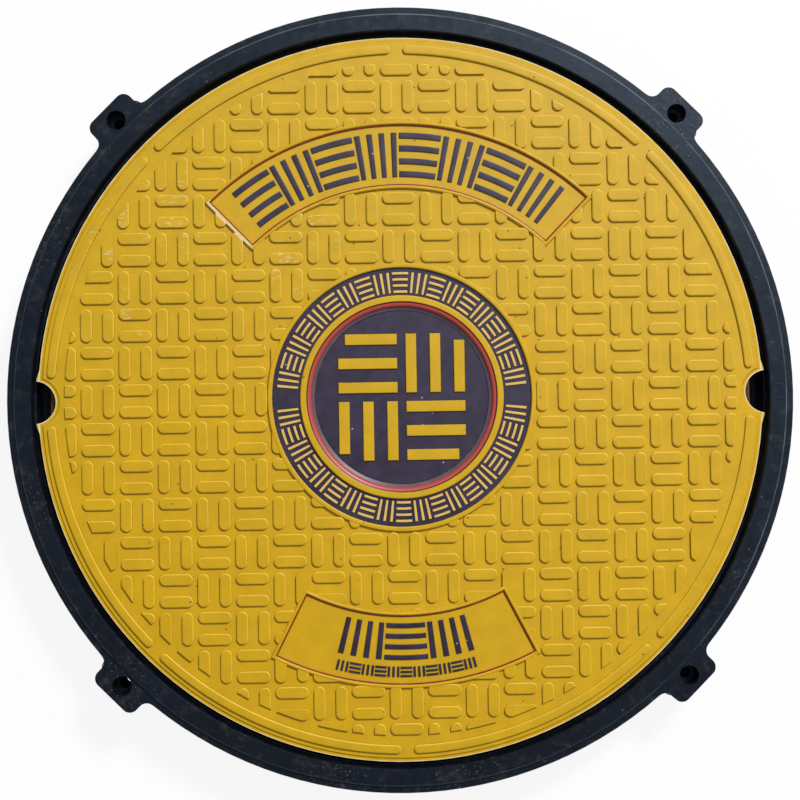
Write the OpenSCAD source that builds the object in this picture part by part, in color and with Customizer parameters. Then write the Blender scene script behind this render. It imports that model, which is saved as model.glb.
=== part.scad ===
// Round manhole cover in its ring frame.
//
// A moulded cover with a basketweave tread rests on a rubber gasket inside a
// ring frame, which is bolted down through four lugs. All sizes are in
// millimetres, +Z is up, and the origin is the centre of the frame's base.
// +Y is the side of the longer plate.

/* [Cover] */
// Outer diameter of the cover
cover_d = 600; // [540:5:700]
// Thickness of the cover's deck, under the tread
deck_t = 8; // [7:0.5:12]
// Thickness of the skirt round the cover's rim
skirt_t = 8; // [6:0.5:9]
// How much smaller the skirt's foot is than its top, on the radius
skirt_draft = 1.5; // [0:0.1:2]
// Width of the lower border round the cover's edge
border_w = 3.5; // [2.5:0.1:5]
// How far that border lies below the field
border_depth = 1.2; // [0.6:0.1:2]

/* [Lifting notches] */
// Radius of each half-round notch
notch_r = 17.7; // [12:0.1:20]
// How far the notch's centre lies outside the cover's edge
notch_offset = 3.3; // [0:0.1:5]
// How far the notch's lips stand out past the cover's edge
lip = 1.3; // [0:0.1:3]
// Width of the shelf inside the notch, under the deck
notch_shelf = 5.4; // [2:0.1:6]
// Half the width of the pocket under the notch
pocket_half_w = 17; // [14:0.5:19]
// Thickness of the pocket's walls
pocket_wall = 6; // [4:0.5:8]

/* [Tread] */
// Height of the tread bars above the field
tread_h = 2.4; // [1.6:0.1:3]
// Side of one square of the basketweave, which holds two bars
tread_pitch = 31.3; // [29:0.1:36]
// Length of a tread bar at its foot
bar_l = 27.3; // [24:0.1:28]
// Width of a tread bar at its foot
bar_w = 9.5; // [8:0.1:11]
// Distance between the two bars of a pair, centre to centre
bar_pair = 18; // [16:0.1:19]
// Width of the slope round the top of a bar
bar_slope = 1.6; // [0.8:0.1:2.2]
// Distance from the cover's edge to the tread
tread_inset = 22; // [20:0.5:30]

/* [Edge ribs] */
// Number of arc ribs round the rim
rib_count = 8; // [4:4:16]
// Width of an edge rib at its foot
rib_w = 7; // [5:0.1:8]
// Distance from the cover's edge to the middle of an edge rib
rib_inset = 10.5; // [9:0.1:13]
// Gap between the ends of two edge ribs
rib_gap = 10.8; // [6:0.2:20]
// Distance from the middle of a notch to the end of the rib beside it
rib_notch_gap = 19.9; // [18:0.1:26]

/* [Plates] */
// Width of the raised bead round the plates and the medallion
bead_w = 3.8; // [3:0.1:5]
// Height of the bead above the field
bead_h = 2.8; // [2:0.1:3.4]
// Width of the slope on each side of the bead
bead_slope = 1.2; // [0.8:0.1:1.4]
// Distance from the cover's edge to the upper plate
upper_inset = 70.5; // [60:0.5:90]
// Radial width of the upper plate
upper_w = 56.3; // [45:0.1:62]
// Half the angle that the upper plate spans
upper_half_angle = 44; // [30:0.5:60]
// Distance from the cover's edge to the lower plate
lower_inset = 60.5; // [50:0.5:90]
// Radial width of the lower plate
lower_w = 62.2; // [45:0.1:68]
// Half the angle that the lower plate spans
lower_half_angle = 27.1; // [15:0.5:60]

/* [Medallion] */
// Outer diameter of the medallion
medallion_d = 218.8; // [190:0.2:240]
// Depth of the flat ring inside the medallion's bead
moat_depth = 0.6; // [0.2:0.1:1.5]
// Radial width of that ring
moat_w = 20.7; // [14:0.1:26]
// Width of the raised collar round the dish
collar_w = 5.6; // [4:0.1:10]
// Height of the raised collar above the field
collar_h = 2.6; // [1.5:0.1:3.2]
// Width of the band that slopes down inside the collar
band_w = 4.8; // [3:0.1:7]
// Width of the steep edge below that band
dish_edge_w = 2.6; // [1:0.1:3]
// Depth of the dish's floor below the field
dish_depth = 3; // [2:0.1:4]

/* [Underside of the cover] */
// Radius of the solid hub at the centre
hub_r = 40; // [30:1:50]
// Distance from one ring rib to the next
ring_pitch = 50; // [44:1:56]
// Number of straight ribs that reach the hub
spokes = 16; // [12:1:20]
// Thickness of the ribs
under_rib_t = 5; // [4:0.5:7]
// How far the ribs stop short of the skirt's foot
rib_relief = 3.5; // [1:0.5:8]

/* [Frame] */
// Height of the frame from its base to its top
frame_h = 60; // [52:1:90]
// Gap between the cover's edge and the frame's inner edge
edge_gap = 5.3; // [4:0.1:8]
// Width of the flat band on top of the frame
top_band_w = 14.5; // [13:0.5:22]
// Width of the lower band outside it
low_band_w = 5.8; // [4:0.1:10]
// Step from the top band down to the lower band
band_step = 3; // [1:0.5:6]
// Chamfer along the frame's upper edges
edge_chamfer = 1; // [0.4:0.1:1.5]
// Depth below the top at which the inner wall steps in
wall_step_z = 14; // [8:1:24]
// Width of that step
wall_step_w = 1.5; // [0.5:0.1:2]
// Thickness of the frame's upright walls
wall_t = 6; // [4:0.5:6]
// Depth from the frame's top to its seat ledge
seat_depth = 40; // [34:1:44]
// Thickness of the seat ledge
ledge_t = 8; // [6:0.5:10]
// Width of the seat ledge, from the inner wall to the clear opening
ledge_w = 21; // [18:0.5:30]
// Number of radial ribs under the frame
frame_ribs = 40; // [32:4:48]
// Thickness of those ribs
frame_rib_t = 4; // [3:0.5:6]

/* [Lugs] */
// Number of bolting lugs
lug_count = 4; // [3:1:8]
// Width of a lug
lug_w = 44.4; // [40:0.2:60]
// How far a lug reaches past the frame's outer wall
lug_reach = 17.9; // [16:0.1:24]
// Radius of a lug's outer corners
lug_corner_r = 7.5; // [4:0.1:9]
// Radius of the fillet between lug and ring
lug_fillet_r = 7.5; // [4:0.1:12]
// Distance from the frame's outer wall to the middle of a bolt hole
hole_offset = 4.6; // [4:0.1:8]
// Diameter of a bolt hole
hole_d = 9; // [6:0.5:12]
// Diameter of the wider upper part of a bolt hole
counterbore_d = 16; // [13:0.5:18]
// Depth of that upper part
counterbore_depth = 18; // [8:1:20]

/* [Gasket] */
// Thickness of the rubber gasket
gasket_t = 3.5; // [2.5:0.1:5]
// Width of the gasket
gasket_w = 10; // [9:0.5:12]
// Depth of the groove that holds the gasket
groove_depth = 1; // [0.5:0.1:1.5]
// Clearance of the gasket in its groove, on each side
groove_clearance = 0.3; // [0.1:0.1:0.5]

/* [Hidden] */
$fn = 96;
bar_fn = 24;
overcut = 1;
end_relief = 0.05;
// How far what stands on the field reaches into it
root = 0.6;

// Frame, from the inside out
cover_r = cover_d / 2;
wall_r = cover_r + edge_gap;
band_r = wall_r + top_band_w;
frame_r = band_r + low_band_w;
wall_draft = 0.5;
wall_foot_r = wall_r - wall_step_w - wall_draft;
opening_r = wall_foot_r - ledge_w;
band_z = frame_h - band_step;
ledge_z = frame_h - seat_depth;
lug_r = frame_r + lug_reach;
hole_r = frame_r + hole_offset;

// Gasket in its groove, under the middle of the skirt's foot
skirt_foot_r = cover_r - skirt_draft;
gasket_mid_r = skirt_foot_r - skirt_t / 2;
gasket_in_r = gasket_mid_r - gasket_w / 2;
gasket_out_r = gasket_mid_r + gasket_w / 2;
groove_z = ledge_z - groove_depth;
gasket_top_z = groove_z + gasket_t;

// Cover, whose tread is level with the frame's top
foot_z = gasket_top_z;
field_z = frame_h - tread_h;
deck_z = field_z - deck_t;
border_z = field_z - border_depth;
border_slope = border_depth;
notch_x = cover_r + notch_offset;
shelf_x = notch_x - notch_r + notch_shelf;
rib_r = cover_r - rib_inset;
tread_r = cover_r - tread_inset;

// Medallion, from its bead to its dish
medallion_r = medallion_d / 2;
moat_r = medallion_r - bead_w;
collar_r = moat_r - moat_w;
band_out_r = collar_r - collar_w;
dish_edge_r = band_out_r - band_w;
dish_r = dish_edge_r - dish_edge_w;

// A plate is [inner radius, outer radius, half angle, turn about Z]
upper_plate = [cover_r - upper_inset - upper_w, cover_r - upper_inset, upper_half_angle, 0];
lower_plate = [cover_r - lower_inset - lower_w, cover_r - lower_inset, lower_half_angle, 180];

// Sides of the half-round that ends a bar or a rib, as seen in section
function end_profile(w, h, slope) =
    [[0, -root], [w / 2, -root], [w / 2, 0], [w / 2 - slope, h], [0, h]];

// Sides of a raised bar or rib in section, centred on x
function ridge_profile(x, w, h, slope) =
    [[x - w / 2, 0], [x - w / 2, -root], [x + w / 2, -root], [x + w / 2, 0],
     [x + w / 2 - slope, h], [x - w / 2 + slope, h]];

// Half of a tapered round boss, on the +Y side, which ends a bar
module ridge_end(w, h, slope)
    rotate_extrude(angle = 180) polygon(end_profile(w, h, slope));

// One tread bar along X, with round ends and sloping sides
module tread_bar() {
    straight = bar_l - bar_w;
    rotate([90, 0, 90])
        translate([0, 0, -straight / 2])
            linear_extrude(straight)
                polygon(ridge_profile(0, bar_w, tread_h, bar_slope));
    for (side = [-1, 1])
        translate([side * straight / 2, 0, 0])
            rotate([0, 0, -90 * side])
                ridge_end(bar_w, tread_h, bar_slope, $fn = bar_fn);
}

// Every bar of the basketweave as [x, y, turn]: squares whose column and row
// add to an even number hold two upright bars, and the others two level ones
tread_reach = ceil(tread_r / tread_pitch);
tread_places = [
    for (i = [-tread_reach : tread_reach], j = [-tread_reach : tread_reach], side = [-1, 1])
        let (upright = (i + j) % 2 == 0, shift = side * bar_pair / 2)
            [i * tread_pitch + (upright ? shift : 0),
             j * tread_pitch + (upright ? 0 : shift),
             upright ? 90 : 0]
];

// Points along the outline of the bar at a place, and along its middle
function bar_points(place) = [
    for (u = [-1, -0.5, 0, 0.5, 1], v = [-1, 0, 1])
        let (x = u * (bar_l / 2 - (v == 0 ? 0 : bar_w / 6)), y = v * bar_w / 2)
            [place[0] + x * cos(place[2]) - y * sin(place[2]),
             place[1] + x * sin(place[2]) + y * cos(place[2])]
];

// Is a point on the plate, as far as the middle of its bead?
function on_plate(p, plate) =
    let (q = [p[0] * cos(plate[3]) + p[1] * sin(plate[3]),
              p[1] * cos(plate[3]) - p[0] * sin(plate[3])])
        norm(q) > plate[0] + bead_w / 2 && norm(q) < plate[1] - bead_w / 2
        && abs(atan2(q[0], q[1])) < plate[2];

// Is a point on the field that carries the tread?
function on_tread(p) =
    norm(p) < tread_r && norm(p) > medallion_r - bead_w / 2
    && !on_plate(p, upper_plate) && !on_plate(p, lower_plate);

// The share of a bar's points that lies on the tread
function bar_share(place) =
    let (points = bar_points(place))
        len([for (p = points) if (on_tread(p)) 1]) / len(points);

whole_bars = [for (place = tread_places) if (bar_share(place) == 1) place];
cut_bars = [
    for (place = tread_places)
        let (share = bar_share(place))
            if (share > 0 && share < 1) place
];

module bars_at(places)
    for (place = places)
        translate([place[0], place[1], 0]) rotate([0, 0, place[2]]) tread_bar();

// Outline of a plate to the middle of its bead
module plate_outline(plate)
    rotate([0, 0, plate[3]])
        intersection() {
            difference() {
                circle(plate[1] - bead_w / 2);
                circle(plate[0] + bead_w / 2);
            }
            reach = plate[1] + overcut;
            polygon([[0, 0], [reach * tan(plate[2]), reach], [-reach * tan(plate[2]), reach]]);
        }

// The tread, trimmed to the rim, the medallion and the two plates
module tread() {
    bars_at(whole_bars);
    intersection() {
        bars_at(cut_bars);
        translate([0, 0, -overcut])
            linear_extrude(tread_h + 2 * overcut)
                difference() {
                    circle(tread_r);
                    circle(medallion_r - bead_w / 2);
                    plate_outline(upper_plate);
                    plate_outline(lower_plate);
                }
    }
}

// One edge rib between two angles, with a round boss at each end that is
// narrower by a hair, so that its side crosses the rib's end cleanly
module edge_rib(from, to) {
    rotate([0, 0, from])
        rotate_extrude(angle = to - from)
            polygon(ridge_profile(rib_r, rib_w, tread_h, bar_slope));
    for (end = [from, to])
        rotate([0, 0, end])
            translate([rib_r, 0, 0])
                rotate_extrude($fn = 2 * bar_fn)
                    polygon(end_profile(rib_w - 2 * end_relief, tread_h, bar_slope));
}

// The ring of edge ribs, with wider gaps beside the notches on the X axis
module edge_ribs() {
    step = 360 / rib_count;
    half_gap = asin((rib_gap / 2 + rib_w / 2) / rib_r);
    half_notch = asin((rib_notch_gap + rib_w / 2) / rib_r);
    for (k = [0 : rib_count - 1]) {
        from = k * step;
        to = from + step;
        edge_rib(from + (from % 180 == 0 ? half_notch : half_gap),
                 to - (to % 180 == 0 ? half_notch : half_gap));
    }
}

// A ring sector standing on the field, its walls set in by an inset and
// leaning inwards by a slope over the bead's height
module plate_block(plate, inset, slope, low, high) {
    lean = slope / bead_h;
    tilt = atan(lean);
    far = plate[1] + 10;
    rotate([0, 0, plate[3]])
        difference() {
            rotate_extrude()
                polygon([
                    [plate[0] + inset + lean * low, low],
                    [plate[1] - inset - lean * low, low],
                    [plate[1] - inset - lean * high, high],
                    [plate[0] + inset + lean * high, high]
                ]);
            for (side = [0, 1])
                mirror([side, 0, 0])
                    rotate([0, 0, 90 - plate[2]])
                        translate([0, inset - bead_w / 2, 0])
                            rotate([-tilt, 0, 0])
                                translate([-far, -2 * far, -far])
                                    cube([2 * far, 2 * far, 2 * far]);
        }
}

// The raised bead round a plate
module plate_bead(plate)
    difference() {
        plate_block(plate, 0, bead_slope, -root, bead_h);
        plate_block(plate, bead_w, -bead_slope, -overcut, bead_h + overcut);
    }

// Half section of the cover without its tread and ribs: skirt, border,
// field, and the medallion's bead, moat, collar and dish
module cover_section()
    polygon([
        [0, foot_z],
        [skirt_foot_r, foot_z],
        [cover_r, border_z],
        [cover_r - border_w + border_slope, border_z],
        [cover_r - border_w, field_z],
        [medallion_r, field_z],
        [medallion_r - bead_slope, field_z + bead_h],
        [moat_r + bead_slope, field_z + bead_h],
        [moat_r, field_z - moat_depth],
        [collar_r, field_z - moat_depth],
        [collar_r - bead_slope, field_z + collar_h],
        [band_out_r, field_z + collar_h],
        [dish_edge_r, field_z - dish_depth / 2],
        [dish_r, field_z - dish_depth],
        [0, field_z - dish_depth]
    ]);

// Lip beside a notch on the +X side, where the cover's edge flares out
module notch_lip() {
    flare_y = 1.5 * notch_r;
    flare_x = sqrt(cover_r * cover_r - flare_y * flare_y);
    lip_y = notch_r + border_w / 2;
    translate([0, 0, deck_z])
        linear_extrude(border_z - deck_z)
            polygon([
                [flare_x, flare_y],
                [flare_x - border_w, flare_y],
                [flare_x - border_w, -flare_y],
                [flare_x, -flare_y],
                [cover_r + lip, -lip_y],
                [cover_r + lip, lip_y]
            ]);
}

// Half-round cut through the deck, the border round it, and the straight-backed
// pocket below, for a notch on the +X side
module notch_cut() {
    translate([notch_x, 0, deck_z - overcut])
        cylinder(r = notch_r, h = deck_t + 2 * overcut);
    translate([notch_x, 0, border_z])
        cylinder(r1 = notch_r + border_w - border_slope, r2 = notch_r + border_w, h = border_depth);
    translate([shelf_x, -pocket_half_w, foot_z - overcut])
        cube([notch_x - shelf_x, 2 * pocket_half_w, deck_z - foot_z + overcut]);
}

// Walls that close the pocket under a notch off from the ribs
module notch_walls()
    translate([shelf_x - pocket_wall, -pocket_half_w - pocket_wall, foot_z - overcut])
        cube([cover_r - shelf_x, 2 * (pocket_half_w + pocket_wall), deck_z - foot_z + 2 * overcut]);

// Hub, ring ribs and straight ribs, as tall as the space that they divide
module under_ribs() {
    height = deck_z - foot_z + overcut;
    inner_r = skirt_foot_r - skirt_t;
    rings = floor((inner_r - hub_r - under_rib_t) / ring_pitch);
    cylinder(r = hub_r, h = height);
    for (k = [1 : rings])
        rotate_extrude()
            translate([hub_r + k * ring_pitch - under_rib_t / 2, 0])
                square([under_rib_t, height]);
    for (k = [0 : 2 * spokes - 1]) {
        start = k % 2 == 0 ? hub_r - overcut : hub_r + 2 * ring_pitch;
        rotate([0, 0, k * 180 / spokes])
            translate([start, -under_rib_t / 2, 0])
                cube([inner_r - start + overcut, under_rib_t, height]);
    }
}

// Space that is left open under the deck, between the ribs
module under_pockets() {
    inner_r = skirt_foot_r - skirt_t;
    difference() {
        translate([0, 0, foot_z - overcut])
            cylinder(r = inner_r, h = deck_z - foot_z + overcut);
        translate([0, 0, foot_z + rib_relief]) under_ribs();
        for (side = [0, 1]) mirror([side, 0, 0]) notch_walls();
    }
}

// The cover without what stands on its field
module cover_body()
    difference() {
        union() {
            rotate_extrude() cover_section();
            for (side = [0, 1]) mirror([side, 0, 0]) notch_lip();
        }
        for (side = [0, 1]) mirror([side, 0, 0]) notch_cut();
        under_pockets();
    }

module cover()
    color("#cfa51e") {
        cover_body();
        translate([0, 0, field_z]) {
            tread();
            edge_ribs();
            plate_bead(upper_plate);
            plate_bead(lower_plate);
        }
    }

// Half section of the ring: outer wall, lower band, top band, stepped inner
// wall, seat ledge with the gasket's groove, and the clear opening
module frame_section()
    polygon([
        [opening_r, 0],
        [frame_r, 0],
        [frame_r, band_z - edge_chamfer / 2],
        [frame_r - edge_chamfer / 2, band_z],
        [band_r + edge_chamfer / 2, band_z],
        [band_r, frame_h - edge_chamfer],
        [band_r - edge_chamfer, frame_h],
        [wall_r + edge_chamfer, frame_h],
        [wall_r, frame_h - edge_chamfer],
        [wall_r - wall_draft / 2, frame_h - wall_step_z],
        [wall_r - wall_draft / 2 - wall_step_w, frame_h - wall_step_z],
        [wall_foot_r, ledge_z],
        [gasket_out_r + groove_clearance, ledge_z],
        [gasket_out_r + groove_clearance, groove_z],
        [gasket_in_r - groove_clearance, groove_z],
        [gasket_in_r - groove_clearance, ledge_z],
        [opening_r, ledge_z]
    ]);

// Half section of the hollow under the frame, open at the base
module frame_hollow_section()
    polygon([
        [opening_r + wall_t, -overcut],
        [frame_r - wall_t, -overcut],
        [frame_r - wall_t, band_z - wall_t],
        [wall_r + wall_t - wall_step_w, band_z - wall_t],
        [wall_r + wall_t - wall_step_w, ledge_z - ledge_t],
        [opening_r + wall_t, ledge_z - ledge_t]
    ]);

// The hollow, divided by the radial ribs
module frame_pockets()
    difference() {
        rotate_extrude() frame_hollow_section();
        for (k = [0 : frame_ribs - 1])
            rotate([0, 0, k * 360 / frame_ribs])
                translate([opening_r, -frame_rib_t / 2, -2 * overcut])
                    cube([frame_r - opening_r, frame_rib_t, frame_h]);
    }

// Concave fillet between a lug's side and the ring, on the +Y side of the lug
module lug_fillet() {
    middle_y = lug_w / 2 + lug_fillet_r;
    middle_r = frame_r + lug_fillet_r;
    middle = [sqrt(middle_r * middle_r - middle_y * middle_y), middle_y];
    touch = middle * frame_r / middle_r;
    difference() {
        polygon([
            [middle[0], lug_w / 2],
            middle,
            touch,
            touch * (frame_r - wall_t / 2) / frame_r,
            [frame_r - wall_t / 2, lug_w / 2]
        ]);
        translate(middle) circle(lug_fillet_r);
    }
}

// Outline of a lug on the +X side
module lug_outline() {
    root_x = band_r - wall_t;
    corner_x = lug_r - lug_corner_r;
    corner_y = lug_w / 2 - lug_corner_r;
    translate([root_x, -lug_w / 2]) square([corner_x - root_x, lug_w]);
    translate([root_x, -corner_y]) square([lug_r - root_x, 2 * corner_y]);
    for (side = [-1, 1])
        translate([corner_x, side * corner_y]) circle(lug_corner_r);
    for (side = [0, 1])
        mirror([0, side]) lug_fillet();
}

// Bolt hole with its wider upper part, and the two pockets under a lug
module lug_cuts() {
    boss_r = (hole_d + wall_t * 2.5) / 2;
    translate([hole_r, 0, -overcut])
        cylinder(d = hole_d, h = frame_h);
    translate([hole_r, 0, band_z - counterbore_depth])
        cylinder(d = counterbore_d, h = counterbore_depth + overcut);
    for (side = [-1, 1])
        translate([frame_r + 2, side * (boss_r + lug_w / 2 - wall_t + 1) / 2, -overcut])
            translate([0, -(lug_w / 2 - wall_t + 1 - boss_r) / 2, 0])
                cube([lug_reach - wall_t, lug_w / 2 - wall_t + 1 - boss_r,
                      band_z - counterbore_depth - wall_t]);
}

module frame()
    color("#262c3a")
        difference() {
            union() {
                rotate_extrude() frame_section();
                for (k = [0 : lug_count - 1])
                    rotate([0, 0, (k + 0.5) * 360 / lug_count])
                        linear_extrude(band_z) lug_outline();
            }
            frame_pockets();
            for (k = [0 : lug_count - 1])
                rotate([0, 0, (k + 0.5) * 360 / lug_count]) lug_cuts();
        }

module seat_gasket()
    color("#1b1b1d")
        translate([0, 0, groove_z])
            rotate_extrude()
                translate([gasket_in_r, 0]) square([gasket_w, gasket_t]);

frame();
cover();
seat_gasket();
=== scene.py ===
"""Round manhole cover in its ring frame, painted yellow, on a plain studio floor.

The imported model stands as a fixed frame. The cover's tread, ribs, beads, medallion and
painted fields are modelled on it, and every surface gets a procedural finish.
"""

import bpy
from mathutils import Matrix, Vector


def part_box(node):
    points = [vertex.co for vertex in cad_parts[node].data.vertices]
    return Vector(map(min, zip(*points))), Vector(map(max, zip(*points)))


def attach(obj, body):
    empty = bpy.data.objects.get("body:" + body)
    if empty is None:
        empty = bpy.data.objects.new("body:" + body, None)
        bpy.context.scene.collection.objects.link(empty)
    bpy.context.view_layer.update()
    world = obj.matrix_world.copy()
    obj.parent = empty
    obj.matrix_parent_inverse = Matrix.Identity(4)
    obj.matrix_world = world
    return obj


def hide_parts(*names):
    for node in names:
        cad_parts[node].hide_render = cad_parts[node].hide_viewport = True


bl_info = {
    "name": "Manhole Cover",
    "version": (1, 0, 0),
    "blender": (4, 5, 0),
    "location": "View3D > Sidebar > Manhole Cover",
    "description": "Models and paints a moulded manhole cover that rests in a ring frame",
    "category": "Object",
}

from math import asin, atan2, ceil, cos, hypot, pi, radians, sin
from typing import NamedTuple

import bmesh
import bpy
from bpy.props import FloatProperty, FloatVectorProperty, IntProperty, PointerProperty
from mathutils import Matrix, Vector

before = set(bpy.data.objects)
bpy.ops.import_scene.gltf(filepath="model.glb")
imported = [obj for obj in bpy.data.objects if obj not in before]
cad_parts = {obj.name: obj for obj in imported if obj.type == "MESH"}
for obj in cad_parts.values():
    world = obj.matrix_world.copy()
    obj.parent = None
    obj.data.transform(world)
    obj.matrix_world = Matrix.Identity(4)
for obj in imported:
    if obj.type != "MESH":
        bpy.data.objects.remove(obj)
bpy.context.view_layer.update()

MM = 0.001
BODY = "root"
TURN = 2 * pi
LIFT = 0.05 * MM       # how far a painted piece stands over the moulding below it
SINK = 0.3 * MM        # how far a raised piece reaches into what carries it
TOP_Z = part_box("frame")[1].z
BAND_R = 319.8 * MM    # outer radius of the frame's top band


def size(name, description, default):
    """A length that the user can change, in metres."""
    return FloatProperty(
        name=name, description=description, default=default, min=0.0, unit="LENGTH", precision=5
    )


def colour(name, description, red, green, blue):
    """A colour that the user can change, given as the eye sees it from 0 to 255."""
    return FloatVectorProperty(
        name=name,
        description=description,
        default=[linear(red), linear(green), linear(blue)],
        subtype="COLOR",
        size=3,
        min=0.0,
        max=1.0,
    )


def linear(value):
    """One channel of a colour, from 0-255 as seen to scene-linear."""
    share = value / 255
    return share / 12.92 if share <= 0.04045 else ((share + 0.055) / 1.055) ** 2.4


class CoverSizes(bpy.types.PropertyGroup):
    """Sizes of what stands on the cover's field."""

    field_z: size("Field", "Height of the cover's flat field", 57.6 * MM)
    cover_r: size("Cover radius", "Outer radius of the cover", 300 * MM)
    tread_r: size("Tread radius", "Radius at which the tread ends", 278 * MM)
    tread_h: size("Tread height", "Height of the tread bars", 2.4 * MM)
    pitch: size("Square", "Side of one square of the basketweave", 31.3 * MM)
    bar_l: size("Bar length", "Length of a tread bar", 27.3 * MM)
    bar_w: size("Bar width", "Width of a tread bar", 9.5 * MM)
    bar_pair: size("Pair", "Distance between the two bars of a pair", 18 * MM)
    bar_round: size("Bar rounding", "Width of the rounding along a bar's top", 1.2 * MM)
    rib_r: size("Rib radius", "Radius of the middle of the edge ribs", 289.5 * MM)
    rib_w: size("Rib width", "Width of an edge rib", 7 * MM)
    rib_gap: size("Rib gap", "Gap between two edge ribs", 10.8 * MM)
    rib_notch_gap: size("Notch gap", "Distance from a notch's middle to a rib", 19.9 * MM)
    notch_x: size("Notch place", "Distance from the axis to a notch's centre", 303.3 * MM)
    notch_r: size("Notch radius", "Radius of a lifting notch", 17.7 * MM)
    ribs: IntProperty(name="Ribs", description="Number of edge ribs", default=8, min=4)


class PlateSizes(bpy.types.PropertyGroup):
    """Sizes of the two framed plates."""

    bead_w: size("Bead width", "Width of the bead round a plate", 3.8 * MM)
    bead_h: size("Bead height", "Height of the bead round a plate", 2.8 * MM)
    bead_round: size("Bead rounding", "Width of the rounding on a bead", 1.1 * MM)
    upper_in: size("Upper inner radius", "Inner radius of the upper plate", 173.2 * MM)
    upper_out: size("Upper outer radius", "Outer radius of the upper plate", 229.5 * MM)
    upper_half: FloatProperty(
        name="Upper half angle", description="Half the angle that the upper plate spans",
        default=radians(44), subtype="ANGLE",
    )
    lower_in: size("Lower inner radius", "Inner radius of the lower plate", 177.3 * MM)
    lower_out: size("Lower outer radius", "Outer radius of the lower plate", 239.5 * MM)
    lower_half: FloatProperty(
        name="Lower half angle", description="Half the angle that the lower plate spans",
        default=radians(27.1), subtype="ANGLE",
    )
    line_w: size("Line width", "Width of the red line at a bead's inner foot", 1.1 * MM)
    line_h: size("Line height", "How far up the bead the red line reaches", 1.2 * MM)


class MedallionSizes(bpy.types.PropertyGroup):
    """Radii and heights of the round medallion, measured from the field."""

    outer_r: size("Outer radius", "Outer radius of the medallion's bead", 111.1 * MM)
    moat_r: size("Ring radius", "Outer radius of the dark ring", 107.3 * MM)
    collar_r: size("Collar radius", "Outer radius of the collar", 84.1 * MM)
    band_r: size("Band radius", "Outer radius of the sloping band", 79.1 * MM)
    edge_r: size("Edge radius", "Radius where the band ends", 74.7 * MM)
    dish_r: size("Dish radius", "Radius at the foot of the dish's grey slope", 72.2 * MM)
    # The gap is drawn as a flat black ring of painted shade.
    gap_w: size("Gap width", "Width of the dark gap round the dish's floor", 0.7 * MM)
    line_w: size("Line width", "Width of the red line on top of the band", 1.1 * MM)
    moat_depth: size("Ring depth", "Depth of the dark ring below the field", 0 * MM)
    collar_h: size("Collar height", "Height of the collar", 2.6 * MM)
    line_drop: size("Line drop", "How far the red line lies under the collar's top", 0.7 * MM)
    dish_depth: size("Dish depth", "Depth of the dish's floor", 3 * MM)


class MarkSizes(bpy.types.PropertyGroup):
    """Sizes of the round mould marks and the pads on the frame."""

    band_drop: size("Band drop", "How far the lower band lies under the top band", 3 * MM)
    top_r: size("Top marks", "Radius of the circle of marks on the top band", 312.8 * MM)
    low_r: size("Low marks", "Radius of the circle of marks on the lower band", 326.4 * MM)
    mark_r: size("Mark radius", "Radius of the ridge of a mark", 6 * MM)
    mark_w: size("Mark width", "Width of the ridge of a mark", 0.8 * MM)
    pads_r: size("Pads", "Radius of the circle of pads", 318 * MM)
    pad_r: size("Pad radius", "Radius of a pad", 7.4 * MM)
    pad_h: size("Pad height", "Height of a pad over the lower band", 1 * MM)
    pad_edge: size("Pad edge", "Width and depth of the bevel on a pad", 0.5 * MM)


class FinishColours(bpy.types.PropertyGroup):
    """Colours of the finishes."""

    yellow: colour("Yellow", "Moulded yellow of the cover", 213, 167, 0)
    # Painted sheen: the yellow that a sky reflection gives the cover towards +Y.
    sheen_yellow: colour("Pale yellow", "Yellow where the cover has bleached", 208, 167, 27)
    scuff: colour("Scuff", "Pale rub marks on the tread", 232, 212, 150)
    dark: colour("Dark paint", "Dark paint of the fields and ornaments", 44, 34, 60)
    red: colour("Red paint", "Red paint of the lines", 132, 14, 12)
    coral: colour("Band paint", "Lighter red of the sloping band", 188, 74, 66)
    # Painted shade: the line's red is darkened as the groove beside the collar would shade it.
    wine: colour("Line paint", "Dark red line beside the collar", 70, 14, 10)
    grey: colour("Slope paint", "Grey slope at the dish's edge", 96, 80, 92)
    cream: colour("Ring paint", "Pale yellow of the ornaments in the ring", 226, 186, 96)
    plastic: colour("Frame", "Black plastic of the frame", 12, 16, 27)
    dust: colour("Dust", "Dust and scratches on the frame", 128, 126, 118)
    rubber: colour("Rubber", "Rubber of the gasket", 24, 24, 25)


def props(group):
    """One of the scene's property groups, by its name."""
    return getattr(bpy.context.scene, "manhole_" + group)


# Modelling helpers

def activate(obj):
    """Selects one object alone and makes it active, in object mode."""
    if bpy.context.mode != "OBJECT":
        bpy.ops.object.mode_set(mode="OBJECT")
    bpy.ops.object.select_all(action="DESELECT")
    obj.select_set(True)
    bpy.context.view_layer.objects.active = obj


def edit(obj):
    """Opens an object in edit mode with all of it selected."""
    activate(obj)
    bpy.ops.object.mode_set(mode="EDIT")
    bpy.ops.mesh.select_mode(type="VERT")
    bpy.ops.mesh.select_all(action="SELECT")


def pick(obj, kind, test):
    """In edit mode, selects only the vertices, edges or faces that pass a test."""
    bpy.ops.mesh.select_all(action="DESELECT")
    bpy.ops.mesh.select_mode(type={"verts": "VERT", "edges": "EDGE", "faces": "FACE"}[kind])
    shape = bmesh.from_edit_mesh(obj.data)
    for element in getattr(shape, kind):
        element.select_set(test(element))
    shape.select_flush_mode()
    bmesh.update_edit_mesh(obj.data)


def done(obj):
    """Leaves edit mode."""
    bpy.ops.object.mode_set(mode="OBJECT")
    return obj


def join(objects, name):
    """Joins finished objects into one with a name."""
    activate(objects[0])
    for obj in objects:
        obj.select_set(True)
    if len(objects) > 1:
        bpy.ops.object.join()
    whole = bpy.context.view_layer.objects.active
    whole.name = name
    whole.data.name = name
    bpy.ops.object.transform_apply(location=True, rotation=True, scale=True)
    return whole


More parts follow.
